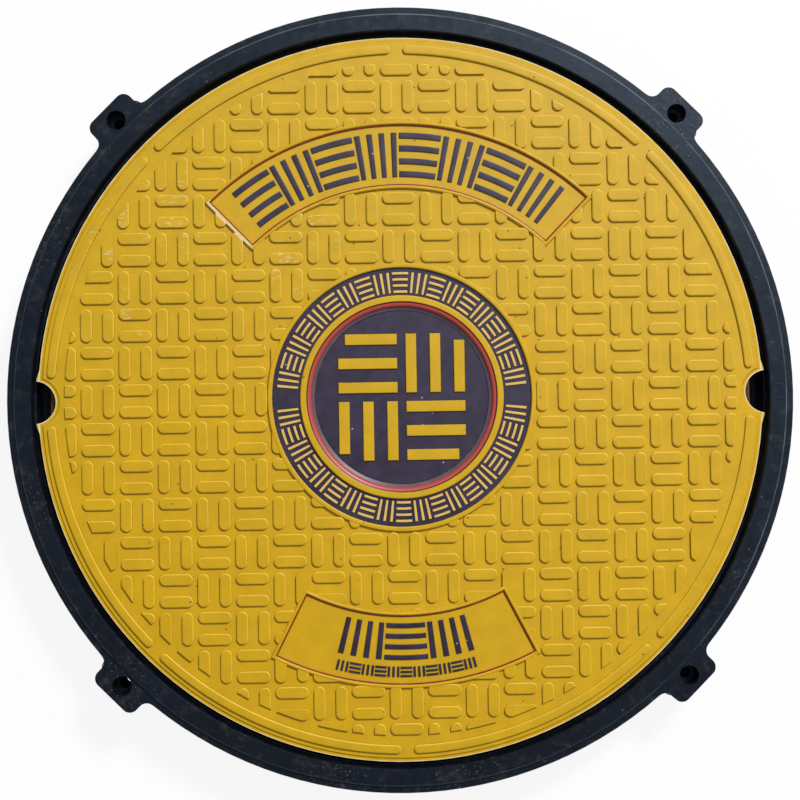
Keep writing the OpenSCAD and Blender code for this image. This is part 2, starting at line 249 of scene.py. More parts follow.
def outline(name, points, edges=None, faces=None):
    """A flat outline or an open line as a mesh object, from points worked out by a formula."""
    mesh = bpy.data.meshes.new(name)
    if faces is None and edges is None:
        faces = [list(range(len(points)))]
    mesh.from_pydata([Vector(p).to_3d() for p in points], edges or [], faces or [])
    obj = bpy.data.objects.new(name, mesh)
    bpy.context.scene.collection.objects.link(obj)
    return obj


def arc_strip(inner, outer, start, end, z=0.0, step=radians(1.5)):
    """A flat strip along an arc about the Z axis, spun from one straight edge."""
    edge = outline(
        "strip",
        [(inner * cos(start), inner * sin(start), z), (outer * cos(start), outer * sin(start), z)],
        edges=[(0, 1)],
    )
    edit(edge)
    steps = max(1, ceil(abs(end - start) / step))
    bpy.ops.mesh.spin(steps=steps, angle=-(end - start), center=(0, 0, 0), axis=(0, 0, 1))
    bpy.ops.mesh.select_all(action="SELECT")
    bpy.ops.mesh.remove_doubles(threshold=1e-6)
    bpy.ops.mesh.normals_make_consistent(inside=False)
    return done(edge)


def face_up(obj):
    """Turns the faces of a flat outline upwards."""
    edit(obj)
    shape = bmesh.from_edit_mesh(obj.data)
    for face in shape.faces:
        if face.normal.z < 0:
            face.normal_flip()
    bmesh.update_edit_mesh(obj.data)
    return done(obj)


def raise_block(obj, height, rounding, segments=3):
    """Extrudes a flat outline to a block and rounds the edges of its top."""
    face_up(obj)
    edit(obj)
    bpy.ops.mesh.extrude_region_move(TRANSFORM_OT_translate={"value": (0, 0, height)})
    top = max(v.co.z for v in bmesh.from_edit_mesh(obj.data).verts) - height / 4
    pick(
        obj,
        "edges",
        lambda e: all(v.co.z > top for v in e.verts)
        and any(abs(f.normal.z) < 0.5 for f in e.link_faces),
    )
    bpy.ops.mesh.bevel(offset=rounding, segments=segments, affect="EDGES", clamp_overlap=True)
    bpy.ops.mesh.select_all(action="SELECT")
    bpy.ops.mesh.remove_doubles(threshold=1e-7)
    bpy.ops.mesh.normals_make_consistent(inside=False)
    return done(obj)


def spin_profile(name, points, steps=180, closed=True):
    """A ring spun about the Z axis from a profile of (radius, height) points."""
    count = len(points)
    edges = [(k, k + 1) for k in range(count - 1)] + ([(count - 1, 0)] if closed else [])
    ring = outline(name, [(r, 0, z) for r, z in points], edges=edges)
    edit(ring)
    bpy.ops.mesh.spin(steps=steps, angle=TURN, center=(0, 0, 0), axis=(0, 0, 1))
    bpy.ops.mesh.select_all(action="SELECT")
    bpy.ops.mesh.remove_doubles(threshold=1e-6)
    bpy.ops.mesh.normals_make_consistent(inside=False)
    return done(ring)


def smooth(obj, angle=35):
    """Smooth shading that keeps sharp edges, and keeps wide flat faces flat."""
    activate(obj)
    bpy.ops.object.shade_smooth_by_angle(angle=radians(angle))
    bpy.ops.object.modifier_add(type="WEIGHTED_NORMAL")
    weighted = obj.modifiers[-1]
    weighted.keep_sharp = True
    bpy.ops.object.modifier_apply(modifier=weighted.name)
    return obj


def arc_points(r, start, end, centre, steps=6):
    """Points of an arc in a profile, as (radius, height), about a centre there."""
    angles = [start + (end - start) * k / steps for k in range(steps + 1)]
    return [(centre[0] + r * cos(angle), centre[1] + r * sin(angle)) for angle in angles]


def ridge(inner, outer, top, feet, shoulders):
    """Profile of a ring with rounded shoulders, a hair over the moulding that it covers.

    The feet are the heights of the ground, and the shoulders the roundings, inside and outside.
    """
    inner, outer, top = inner - LIFT, outer + LIFT, top + LIFT
    profile = [(outer, feet[1] - SINK)]
    profile += arc_points(shoulders[1], 0, pi / 2, (outer - shoulders[1], top - shoulders[1]))
    profile += arc_points(shoulders[0], pi / 2, pi, (inner + shoulders[0], top - shoulders[0]))
    profile.append((inner, feet[0] - SINK))
    return profile


def flat_band(inner, outer, bottom, top):
    """Profile of a ring with a flat top and upright sides."""
    return [(outer, bottom), (outer, top), (inner, top), (inner, bottom)]


# Node helpers

class Nodes:
    """A material's node tree, filled by short calls."""

    def __init__(self, name):
        self.material = bpy.data.materials.new(name)
        self.material.use_nodes = True
        self.tree = self.material.node_tree
        self.shader = self.tree.nodes["Principled BSDF"]
        coordinates = self.add("ShaderNodeTexCoord")
        self.place = coordinates.outputs["Object"]
        split = self.add("ShaderNodeSeparateXYZ", Vector=self.place)
        self.x, self.y, self.z = split.outputs

    def add(self, kind, settings=None, **inputs):
        """Adds a node, sets its settings, and fills or links its inputs."""
        node = self.tree.nodes.new(kind)
        for key, value in (settings or {}).items():
            setattr(node, key, value)
        for key, value in inputs.items():
            self.feed(node.inputs[key.replace("_", " ")], value)
        return node

    def feed(self, socket, value):
        """Links a socket to an output, or sets its value."""
        if isinstance(value, bpy.types.NodeSocket):
            self.tree.links.new(value, socket)
        else:
            socket.default_value = value

    def noise(self, scale, detail=3.0, roughness=0.55, place=None):
        """Factor of a noise pattern, in cycles to a metre."""
        node = self.add("ShaderNodeTexNoise", Vector=place or self.place)
        node.inputs["Scale"].default_value = scale
        node.inputs["Detail"].default_value = detail
        node.inputs["Roughness"].default_value = roughness
        return node.outputs["Fac"]

    def ramp(self, value, low, high, to_low=0.0, to_high=1.0, smooth_step=True):
        """Maps a value from one range to another, held at the ends."""
        node = self.add("ShaderNodeMapRange")
        node.interpolation_type = "SMOOTHSTEP" if smooth_step else "LINEAR"
        for key, item in zip(("Value", "From Min", "From Max", "To Min", "To Max"),
                             (value, low, high, to_low, to_high)):
            self.feed(node.inputs[key], item)
        return node.outputs["Result"]

    def maths(self, operation, first, second=0.0, clamp=False):
        """One arithmetic step."""
        node = self.add("ShaderNodeMath", {"operation": operation, "use_clamp": clamp})
        self.feed(node.inputs[0], first)
        self.feed(node.inputs[1], second)
        return node.outputs[0]

    def mix(self, factor, first, second, blend="MIX"):
        """A mix of two colours."""
        node = self.add("ShaderNodeMix", {"data_type": "RGBA", "blend_type": blend})
        for index, value in ((0, factor), (6, first), (7, second)):
            if index and not isinstance(value, bpy.types.NodeSocket):
                value = (*value[:3], 1.0)
            self.feed(node.inputs[index], value)
        return node.outputs[2]

    def times(self, *values):
        """The product of several values."""
        product = values[0]
        for value in values[1:]:
            product = self.maths("MULTIPLY", product, value)
        return product

    def between(self, value, start, full, fade, end):
        """One where a value lies between two limits, with a soft step at each."""
        return self.times(self.ramp(value, start, full), self.ramp(value, end, fade))

    def toned(self, base, tone):
        """A colour made lighter or darker by a factor."""
        grey = self.add("ShaderNodeCombineColor", Red=tone, Green=tone, Blue=tone)
        return self.mix(1.0, base, grey.outputs[0], "MULTIPLY")

    def slanted(self, turn, stretch):
        """Coordinates turned about the Z axis and stretched, for marks that all run one way."""
        node = self.add("ShaderNodeMapping", Vector=self.place)
        node.inputs["Rotation"].default_value = (0, 0, turn)
        node.inputs["Scale"].default_value = (1.0, stretch, 1.0)
        return node.outputs[0]

    def flat_length(self, across):
        """Length seen from above, of a distance across and the place along Y."""
        flat = self.add("ShaderNodeCombineXYZ", X=across, Y=self.y)
        length = self.add("ShaderNodeVectorMath", {"operation": "LENGTH"})
        self.feed(length.inputs[0], flat.outputs[0])
        return length.outputs["Value"]

    def radius(self):
        """Distance from the Z axis."""
        return self.flat_length(self.x)

    def from_notch(self, notch_x):
        """Distance from the upright axis of the nearer notch."""
        return self.flat_length(self.maths("SUBTRACT", self.maths("ABSOLUTE", self.x), notch_x))

    def spots(self, places):
        """One at each of some places on the top, falling to nothing at its reach."""
        strongest = 0.0
        for x, y, reach in places:
            node = self.add("ShaderNodeVectorMath", {"operation": "DISTANCE"})
            self.feed(node.inputs[0], self.place)
            node.inputs[1].default_value = (x, y, TOP_Z)
            near = self.ramp(node.outputs["Value"], reach, reach * 0.3)
            strongest = self.maths("MAXIMUM", strongest, near)
        return strongest

    def bump(self, height, distance, strength=1.0):
        """Bump from a height pattern."""
        node = self.add("ShaderNodeBump")
        node.inputs["Strength"].default_value = strength
        node.inputs["Distance"].default_value = distance
        self.feed(node.inputs["Height"], height)
        self.feed(self.shader.inputs["Normal"], node.outputs["Normal"])

    def specks(self, scale, share, reach):
        """Small round specks: one inside a speck and nothing between."""
        cells = self.add("ShaderNodeTexVoronoi", {"feature": "F1"}, Vector=self.place)
        cells.inputs["Scale"].default_value = scale
        chosen = self.add("ShaderNodeSeparateColor", Color=cells.outputs["Color"])
        lucky = self.maths("LESS_THAN", chosen.outputs[0], share)
        core = self.ramp(cells.outputs["Distance"], reach, reach * 0.6)
        return self.maths("MULTIPLY", lucky, core)


# Finishes

PAINTED_SHOULDER_HIGHLIGHT = (0.95, 0.68, 0.07)        # painted highlight on the tread's rounded shoulders
PAINTED_SIDE_SHADE = (0.09, 0.035, 0.001)   # painted shade on the tread's upright sides
PALE_RIM = (0.86, 0.71, 0.42)        # pale edge of the cover and its notches
PALE_BEAD = (0.95, 0.80, 0.52)       # pale side of the upper plate's bead
PAINTED_NOTCH_SHADE = (0.02, 0.01, 0.003)    # painted shade on the shelf deep in a notch
DIRT = (0.05, 0.04, 0.03)
PAINT_SCRATCH = (0.42, 0.38, 0.40)
PAINTED_BAND_HIGHLIGHT = (0.22, 0.26, 0.33)      # painted highlight on the edge of the frame's top band
BLUE_SHINE = (0.62, 0.80, 1.0, 1.0)  # tint of what the frame mirrors
WORN_RUBBER = (0.03, 0.03, 0.03)

# Places that are scuffed most, as (x, y, reach)
SCUFFED_PLACES = (
    (-0.178, 0.157, 0.045),
    (-0.092, 0.132, 0.060),
    (-0.236, 0.130, 0.050),
    (-0.228, 0.060, 0.035),
)
FRAME_SCUFFS = (
    (0.288, -0.155, 0.030),
    (0.050, -0.318, 0.055),
    (-0.060, -0.316, 0.045),
    (-0.312, -0.085, 0.040),
    (-0.292, 0.128, 0.040),
    (0.232, 0.232, 0.050),
    (-0.232, -0.232, 0.040),
)


def yellow_with_painted_sheen(nodes):
    """The moulded yellow with a painted sheen towards +Y, cloudy and finely grained."""
    colours = props("colours")
    # Painted sheen: the colour grows paler towards +Y, as a sky reflection would, with coarse clouds in
    # it.
    paler = nodes.maths("ADD", nodes.ramp(nodes.y, -0.12, 0.28), nodes.noise(9.0, 2.0))
    sheen = nodes.maths("MULTIPLY", paler, 0.55, clamp=True)
    cloudy = nodes.ramp(nodes.noise(55.0, 4.0), 0.3, 0.75, 0.93, 1.05)
    grain = nodes.ramp(nodes.noise(1100.0, 2.0), 0.25, 0.8, 0.96, 1.04)
    base = nodes.mix(sheen, colours.yellow, colours.sheen_yellow)
    return nodes.toned(base, nodes.times(cloudy, grain))


def rub_marks(nodes):
    """Pale rub marks on top of the tread, strong in the scuffed places and faint elsewhere."""
    field_z = props("cover").field_z
    raised = nodes.ramp(nodes.z, field_z + 1.7 * MM, field_z + 2.3 * MM)
    slant = nodes.slanted(radians(-52), 3.6)
    streaks = nodes.times(nodes.ramp(nodes.noise(150.0, 7.0, 0.72, slant), 0.53, 0.6),
                          nodes.ramp(nodes.noise(60.0, 2.0), 0.42, 0.58))
    strong = nodes.times(nodes.spots(SCUFFED_PLACES), streaks, raised, 0.8)
    faint = nodes.times(nodes.ramp(nodes.noise(110.0, 8.0, 0.75, slant), 0.64, 0.72), raised, 0.35)
    return nodes.maths("MAXIMUM", strong, faint)


def tread_highlight_and_shade(nodes, base):
    """Paints a highlight on the tread's rounded shoulders and paints shade on its upright sides."""
    field_z = props("cover").field_z
    shoulder = nodes.between(nodes.z, field_z + 0.9 * MM, field_z + 1.7 * MM,
                             field_z + 2.2 * MM, field_z + 2.4 * MM)
    side = nodes.between(nodes.z, field_z + 0.05 * MM, field_z + 0.2 * MM,
                         field_z + 0.7 * MM, field_z + 1.3 * MM)
    # Painted highlight on the shoulders, then painted shade on the sides.
    base = nodes.mix(nodes.times(shoulder, 0.6), base, PAINTED_SHOULDER_HIGHLIGHT)
    return nodes.mix(nodes.times(side, 0.85), base, PAINTED_SIDE_SHADE)


def pale_edges_and_notch_shade(nodes, base):
    """Pales the edge of the cover and its notches, and paints shade on the shelf deep in each notch."""
    cover = props("cover")
    rim = nodes.between(nodes.radius(), cover.cover_r - 1.0 * MM, cover.cover_r - 0.4 * MM,
                        cover.cover_r + 0.4 * MM, cover.cover_r + 0.9 * MM)
    from_notch = nodes.from_notch(cover.notch_x)
    lip = nodes.ramp(from_notch, cover.notch_r + 1.0 * MM, cover.notch_r + 0.5 * MM)
    high = nodes.ramp(nodes.z, cover.field_z - 1.9 * MM, cover.field_z - 1.4 * MM)
    patchy = nodes.ramp(nodes.noise(70.0, 4.0), 0.3, 0.6, 0.45, 0.95)
    base = nodes.mix(nodes.times(nodes.maths("MAXIMUM", rim, lip), high, patchy), base, PALE_RIM)
    base = pale_bead_side(nodes, base)
    # Painted shade: the shelf deep in each notch is darkened almost to black.
    shelf = nodes.times(nodes.ramp(from_notch, cover.notch_r + 3 * MM, cover.notch_r),
                        nodes.ramp(nodes.z, cover.field_z - 5 * MM, cover.field_z - 7 * MM))
    return nodes.mix(nodes.times(shelf, 0.93), base, PAINTED_NOTCH_SHADE)


def pale_bead_side(nodes, base):
    """Pales the bead along the upper plate's side on -X."""
    field_z, plate = props("cover").field_z, props("plates")
    ray = pi / 2 + plate.upper_half
    beside = nodes.maths("SUBTRACT", nodes.times(nodes.y, cos(ray)), nodes.times(nodes.x, sin(ray)))
    half = plate.bead_w / 2
    across = nodes.between(beside, half - 1.9 * MM, half - 1.2 * MM, half + 0.3 * MM, half + 0.6 * MM)
    along = nodes.between(nodes.radius(), plate.upper_in - 1 * MM, plate.upper_in + 8 * MM,
                          plate.upper_out - 6 * MM, plate.upper_out + 1 * MM)
    high = nodes.ramp(nodes.z, field_z + 1.0 * MM, field_z + 1.8 * MM)
    left = nodes.ramp(nodes.x, -0.02, -0.06, 0.0, 0.9)
    return nodes.mix(nodes.times(across, along, high, left), base, PALE_BEAD)


def yellow_plastic():
    """Yellow moulding with a painted sky sheen, painted highlights and shade on the tread, rub marks,
    pale edges, painted shade in the notches and specks of dirt.
    """
    nodes = Nodes("cover_yellow")
    rubbed = rub_marks(nodes)
    base = nodes.mix(rubbed, yellow_with_painted_sheen(nodes), props("colours").scuff)
    base = pale_edges_and_notch_shade(nodes, tread_highlight_and_shade(nodes, base))
    base = nodes.mix(nodes.times(nodes.specks(210.0, 0.02, 0.22), 0.75), base, DIRT)
    nodes.feed(nodes.shader.inputs["Base Color"], base)
    rough = nodes.ramp(nodes.noise(240.0, 5.0), 0.3, 0.7, 0.36, 0.50)
    nodes.feed(nodes.shader.inputs["Roughness"], nodes.maths("ADD", rough, nodes.times(rubbed, 0.2)))
    nodes.shader.inputs["Specular IOR Level"].default_value = 0.35
    nodes.bump(nodes.maths("ADD", nodes.noise(700.0, 3.0), nodes.noise(120.0, 2.0)), 0.05 * MM, 0.6)
    return nodes.material


def dark_paint():
    """Dark violet satin paint with fine scratches and pale specks."""
    nodes = Nodes("dark_paint")
    tone = nodes.ramp(nodes.noise(45.0, 5.0), 0.3, 0.75, 0.8, 1.25)
    specks = nodes.specks(240.0, 0.035, 0.2)
    slant = nodes.slanted(radians(35), 9.0)
    scratch = nodes.ramp(nodes.noise(60.0, 6.0, 0.8, slant), 0.68, 0.76, 0.0, 0.35)
    base = nodes.mix(nodes.maths("MAXIMUM", specks, scratch),
                     nodes.toned(props("colours").dark, tone), PAINT_SCRATCH)
    nodes.feed(nodes.shader.inputs["Base Color"], base)
    nodes.feed(nodes.shader.inputs["Roughness"], nodes.ramp(nodes.noise(90.0, 4.0), 0.3, 0.7, 0.3, 0.46))
    nodes.bump(nodes.noise(600.0, 3.0), 0.03 * MM, 0.5)
    return nodes.material


def satin_paint(name, shade, worn=(0.36, 0.12, 0.06)):
    """Satin paint that has worn thin in places."""
    nodes = Nodes(name)
    thin = nodes.ramp(nodes.noise(130.0, 5.0), 0.52, 0.75, 0.0, 0.5)
    base = nodes.mix(thin, getattr(props("colours"), shade), worn)
    nodes.feed(nodes.shader.inputs["Base Color"], base)
    nodes.shader.inputs["Roughness"].default_value = 0.34
    nodes.bump(nodes.noise(500.0, 3.0), 0.03 * MM, 0.5)
    return nodes.material


def red_paint():
    """The dark red of the lines."""
    return satin_paint("red_paint", "red")


def coral_paint():
    """The lighter red of the band round the dish."""
    return satin_paint("coral_paint", "coral")


def wine_paint():
    """The red of the line beside the collar, made the darkest red as painted shade of its groove."""
    return satin_paint("wine_paint", "wine", (0.03, 0.01, 0.01))


def grey_paint():
    """The violet grey of the slope at the dish's edge."""
    return satin_paint("grey_paint", "grey", (0.20, 0.16, 0.19))


def cream_paint():
    """The pale yellow of the ornaments in the medallion's ring."""
    return satin_paint("cream_paint", "cream", (0.62, 0.37, 0.05))


def black_plastic():
    """Blue-black moulded plastic, satin, with dust, specks, scuffs and a painted highlight along the top
    band's edge.
    """
    colours = props("colours")
    nodes = Nodes("frame_black")
    tone = nodes.ramp(nodes.noise(16.0, 4.0), 0.3, 0.75, 0.75, 1.3)
    film = nodes.ramp(nodes.noise(85.0, 7.0, 0.7), 0.5, 0.85, 0.0, 0.22)
    streaks = nodes.ramp(nodes.noise(380.0, 7.0, 0.75), 0.56, 0.7, 0.0, 0.65)
    dusty = nodes.maths("MAXIMUM", film, nodes.times(nodes.spots(FRAME_SCUFFS), streaks))
    dusty = nodes.maths("MAXIMUM", dusty, nodes.times(nodes.specks(260.0, 0.02, 0.2), 0.5))
    base = nodes.mix(dusty, nodes.toned(colours.plastic, tone), colours.dust)
    # Painted highlight along the edge of the top band.
    base = nodes.mix(band_edge_highlight(nodes), base, PAINTED_BAND_HIGHLIGHT)
    nodes.feed(nodes.shader.inputs["Base Color"], base)
    rough = nodes.ramp(nodes.noise(120.0, 5.0), 0.3, 0.7, 0.3, 0.44)
    nodes.feed(nodes.shader.inputs["Roughness"], nodes.maths("ADD", rough, nodes.times(dusty, 0.35)))
    nodes.shader.inputs["Specular IOR Level"].default_value = 0.36
    nodes.shader.inputs["Specular Tint"].default_value = BLUE_SHINE
    nodes.bump(nodes.maths("ADD", nodes.noise(520.0, 4.0), nodes.noise(60.0, 3.0)), 0.08 * MM, 0.7)
    return nodes.material


def band_edge_highlight(nodes):
    """A painted highlight along the edge of the frame's top band, strongest towards +X and +Y."""
    line = nodes.between(nodes.radius(), BAND_R - 1.5 * MM, BAND_R - 0.9 * MM, BAND_R, BAND_R + 0.5 * MM)
    lit = nodes.ramp(nodes.maths("ADD", nodes.x, nodes.y), -0.12, 0.30, 0.05, 0.5)
    patchy = nodes.ramp(nodes.noise(30.0, 4.0), 0.35, 0.65, 0.25, 1.0)
    high = nodes.ramp(nodes.z, TOP_Z - 2.2 * MM, TOP_Z - 1.2 * MM)
    return nodes.times(line, lit, patchy, high)


def rubber():
    """Matt black rubber."""
    nodes = Nodes("gasket_rubber")
    cloudy = nodes.ramp(nodes.noise(150.0, 4.0), 0.35, 0.75)
    base = nodes.mix(cloudy, props("colours").rubber, WORN_RUBBER)
    nodes.feed(nodes.shader.inputs["Base Color"], base)
    nodes.shader.inputs["Roughness"].default_value = 0.82
    nodes.bump(nodes.noise(900.0, 2.0), 0.04 * MM, 0.5)
    return nodes.material


FINISHES = {
    "yellow": (yellow_plastic, "cover_paint"),
    "dark": (dark_paint, "field_paint"),
    "red": (red_paint, "line_paint"),
    "coral": (coral_paint, "line_paint"),
    "wine": (wine_paint, "line_paint"),
    "grey": (grey_paint, "field_paint"),
    "cream": (cream_paint, "cover_paint"),
    "black": (black_plastic, "frame_plastic"),
    "rubber": (rubber, "gasket_rubber"),
}
made_finishes = {}


def paint(finish):
    """The material of a finish, made once, and its slot in the record."""
    make, slot_name = FINISHES[finish]
    if finish not in made_finishes:
        made_finishes[finish] = make()
    return made_finishes[finish], slot_name


def dress(obj, finish):
    """Gives a finished piece its shading, finish and body."""
    material, slot_name = paint(finish)
    smooth(obj)
    obj.data.materials.clear()
    obj.data.materials.append(material)
    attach(obj, BODY)
    return obj


# Tread

def plates():
    """The two plates as (inner radius, outer radius, half angle, direction of the middle)."""
    p = props("plates")
    return (
        (p.upper_in, p.upper_out, p.upper_half, pi / 2),
        (p.lower_in, p.lower_out, p.lower_half, -pi / 2),
    )


def turn_from(x, y, middle):
    """Angle of a point from a direction, from -pi to pi."""
    angle = atan2(y, x) - middle
    return (angle + pi) % TURN - pi


def on_tread(x, y):
    """Is a point on the field that carries the tread, to the middle of each bead?"""
    cover, plate, medallion = props("cover"), props("plates"), props("medallion")
    half_bead = plate.bead_w / 2
    r = hypot(x, y)
    if not medallion.outer_r - half_bead < r < cover.tread_r:
        return False
    return not any(
        inner + half_bead < r < outer - half_bead and abs(turn_from(x, y, middle)) < half
        for inner, outer, half, middle in plates()
    )


def tread_places():
    """Every bar of the basketweave as (x, y, turn)."""
    c = props("cover")
    reach = ceil(c.tread_r / c.pitch)
    places = []
    for i in range(-reach, reach + 1):
        for j in range(-reach, reach + 1):
            for side in (-1, 1):
                shift = side * c.bar_pair / 2
                if (i + j) % 2 == 0:
                    places.append((i * c.pitch + shift, j * c.pitch, pi / 2))
                else:
                    places.append((i * c.pitch, j * c.pitch + shift, 0.0))
    return places


def bar_share(x, y, turn):
    """The share of a bar's outline points that lies on the tread."""
    c = props("cover")
    found, total = 0, 0
    for u in (-1, -0.5, 0, 0.5, 1):
        for v in (-1, 0, 1):
            along = u * (c.bar_l / 2 - (0 if v == 0 else c.bar_w / 6))
            across = v * c.bar_w / 2
            px = x + along * cos(turn) - across * sin(turn)
            py = y + along * sin(turn) + across * cos(turn)
            found += on_tread(px, py)
            total += 1
    return found / total


BAR_VERTS = 20


def bar_outline(x, y, turn):
    """Flat outline of one bar with round ends, from a disc pulled apart at its middle."""
    c = props("cover")
    bpy.ops.object.select_all(action="DESELECT")
    bpy.ops.mesh.primitive_circle_add(
        vertices=BAR_VERTS, radius=c.bar_w / 2 + LIFT, fill_type="NGON",
        location=(0, 0, 0), rotation=(0, 0, pi / BAR_VERTS),
    )
    bar = bpy.context.object
    bpy.ops.object.transform_apply(location=True, rotation=True, scale=True)
    edit(bar)
    straight = (c.bar_l - c.bar_w) / 2
    for side in (-1, 1):
        pick(bar, "verts", lambda v: v.co.x * side > 0)
        bpy.ops.transform.translate(value=(side * straight, 0, 0))
    done(bar)
    bar.data.transform(Matrix.Translation((x, y, c.field_z - SINK)) @ Matrix.Rotation(turn, 4, "Z"))
    return bar


def cut_lines(x, y):
    """Lines near a bar along which the tread may end, each as (point, normal)."""
    c, p, m = props("cover"), props("plates"), props("medallion")
    half_bead = p.bead_w / 2
    here = atan2(y, x)
    near = c.bar_l / hypot(x, y)
    lines = []
    for r in (c.tread_r, m.outer_r - half_bead):
        directions = (here - near / 3, here, here + near / 3) if r == c.tread_r else (here,)
        lines += [(r, direction) for direction in directions]
    for inner, outer, half, middle in plates():
        if abs(turn_from(x, y, middle)) < half + near:
            lines += [(inner + half_bead, here), (outer - half_bead, here)]
    cuts = [((r * cos(a), r * sin(a), 0), (cos(a), sin(a), 0)) for r, a in lines]
    for inner, outer, half, middle in plates():
        for side in (-1, 1):
            a = middle + side * half
            if abs(turn_from(x, y, a)) < near:
                cuts.append(((0, 0, 0), (-sin(a), cos(a), 0)))
    return cuts


def trim(bar, cuts):
    """Cuts a flat bar along lines and keeps what lies on the tread."""
    edit(bar)
    for point, normal in cuts:
        bpy.ops.mesh.select_all(action="SELECT")
        bpy.ops.mesh.bisect(plane_co=point, plane_no=normal)
    pick(bar, "faces", lambda f: not on_tread(*f.calc_center_median()[:2]))
    bpy.ops.mesh.delete(type="FACE")
    bpy.ops.mesh.select_all(action="SELECT")
    bpy.ops.mesh.dissolve_limited(angle_limit=radians(0.2))
    done(bar)
    return sum(f.area for f in bar.data.polygons)


class MANHOLE_OT_tread(bpy.types.Operator):
    """Models the basketweave tread, trimmed to the rim, the medallion and the plates"""

    bl_idname = "manhole.tread"
    bl_label = "Tread bars"

    def execute(self, context):
        c = props("cover")
        smallest = (2.2 * MM) ** 2
        whole, cut = [], []
        for place in tread_places():
            share = bar_share(*place)
            if share == 1:
                whole.append(bar_outline(*place))
            elif share > 0:
                bar = bar_outline(*place)
                if trim(bar, cut_lines(*place[:2])) > smallest:
                    cut.append(bar)
                else:
                    bpy.data.objects.remove(bar)
        raise_block(join(whole, "tread_whole"), SINK + c.tread_h + LIFT, c.bar_round)
        for bar in cut:
            raise_block(bar, SINK + c.tread_h + LIFT, c.bar_round)
        bars = join([bpy.data.objects["tread_whole"], *cut], "tread_bars")
        dress(bars, "yellow")
        return {"FINISHED"}


class MANHOLE_OT_edge_ribs(bpy.types.Operator):
    """Models the ring of arc ribs along the cover's rim"""

    bl_idname = "manhole.edge_ribs"
    bl_label = "Edge ribs"

    def execute(self, context):
        c = props("cover")
        half_w = c.rib_w / 2 + LIFT
        step = TURN / c.ribs
        half_gap = asin((c.rib_gap / 2 + c.rib_w / 2) / c.rib_r)
        half_notch = asin((c.rib_notch_gap + c.rib_w / 2) / c.rib_r)
        z = c.field_z - SINK
        blocks = []
        for k in range(c.ribs):
            by_notch = [k % (c.ribs // 2) == 0, (k + 1) % (c.ribs // 2) == 0]
            start = k * step + (half_notch if by_notch[0] else half_gap)
            end = (k + 1) * step - (half_notch if by_notch[1] else half_gap)
            parts = [arc_strip(c.rib_r - half_w, c.rib_r, start, end, z),
                     arc_strip(c.rib_r, c.rib_r + half_w, start, end, z)]
            for angle, way in ((start, -1), (end, 1)):
                middle = Vector((c.rib_r * cos(angle), c.rib_r * sin(angle), z))
                fan = outline(
                    "rib_end",
                    [middle, middle + half_w * Vector((cos(angle), sin(angle), 0))],
                    edges=[(0, 1)],
                )
                edit(fan)
                bpy.ops.mesh.spin(steps=10, angle=-way * pi, center=middle, axis=(0, 0, 1))
                parts.append(done(fan))
            rib = join(parts, "rib")
            edit(rib)
            bpy.ops.mesh.remove_doubles(threshold=1e-5)
            done(rib)
            blocks.append(raise_block(rib, SINK + c.tread_h + LIFT, c.bar_round))
        dress(join(blocks, "edge_ribs"), "yellow")
        return {"FINISHED"}


# Plates

def plate_ring(plate, outside, width, z):
    """Flat ring along a plate's edge: how far in it starts, and how wide it is."""
    inner, outer, half, middle = plate
    sheet = arc_strip(inner, outer, middle - half, middle + half, z)
    face_up(sheet)
    edit(sheet)
    shift = props("plates").bead_w / 2
    for side in (-1, 1):
        ray = middle + side * half
        pick(sheet, "verts", lambda v: abs(turn_from(v.co.x, v.co.y, ray)) < radians(0.01))
        bpy.ops.transform.translate(value=(-side * shift * sin(ray), side * shift * cos(ray), 0))
    bpy.ops.mesh.select_mode(type="FACE")
    bpy.ops.mesh.select_all(action="SELECT")
    if outside > 0:
        bpy.ops.mesh.inset(thickness=outside, depth=0, use_even_offset=True)
        bpy.ops.mesh.select_all(action="INVERT")
        bpy.ops.mesh.delete(type="FACE")
        bpy.ops.mesh.select_all(action="SELECT")
    bpy.ops.mesh.inset(thickness=width, depth=0, use_even_offset=True)
    bpy.ops.mesh.delete(type="FACE")
    return done(sheet)


class MANHOLE_OT_plates(bpy.types.Operator):
    """Models the beads round the two plates and the red lines inside them"""

    bl_idname = "manhole.plates"
    bl_label = "Plate beads and lines"

    def execute(self, context):
        c, p = props("cover"), props("plates")
        for plate, name in zip(plates(), ("upper", "lower")):
            inner, outer, half, middle = plate
            wide = (inner - LIFT, outer + LIFT, half + LIFT / outer, middle)
            bead = plate_ring(wide, 0.0, p.bead_w - p.line_w + LIFT, c.field_z - SINK)
            raise_block(bead, SINK + p.bead_h + LIFT, p.bead_round)
            dress(join([bead], name + "_plate_bead"), "yellow")
            line = plate_ring(plate, p.bead_w - p.line_w, p.line_w + LIFT, c.field_z - SINK)
            raise_block(line, SINK + p.line_h, p.line_w / 3, 2)
            dress(join([line], name + "_plate_line"), "red")
        return {"FINISHED"}


class Weave(NamedTuple):
    """Squares of a basketweave in a row that is bent round the Z axis."""

    radius: float      # to the middle of the row
    middle: float      # direction of the middle of the row
    cells: int         # squares in the row
    along: float       # size of a square along the row
    across: float      # size of a square across the row
    bars: int          # bars in a square
    fill: float        # share of the pitch that a bar fills
    gap: float         # between two squares
    rounding: float    # of the edges of the bars


PLATE_WEAVES = {
    "upper_plate_weave": Weave(
        radius=201.5 * MM, middle=pi / 2, cells=8, along=32.5 * MM, across=37 * MM,
        bars=4, fill=0.45, gap=2 * MM, rounding=0.5 * MM),
    "lower_plate_weave": Weave(
        radius=201.5 * MM, middle=-pi / 2, cells=3, along=34 * MM, across=30 * MM,
        bars=4, fill=0.45, gap=2 * MM, rounding=0.5 * MM),
    "lower_plate_row": Weave(
        radius=226.2 * MM, middle=-pi / 2, cells=11, along=9.6 * MM, across=8.4 * MM,
        bars=3, fill=0.5, gap=1 * MM, rounding=0.25 * MM),
}
PLATE_WEAVE_H = 1.2 * MM


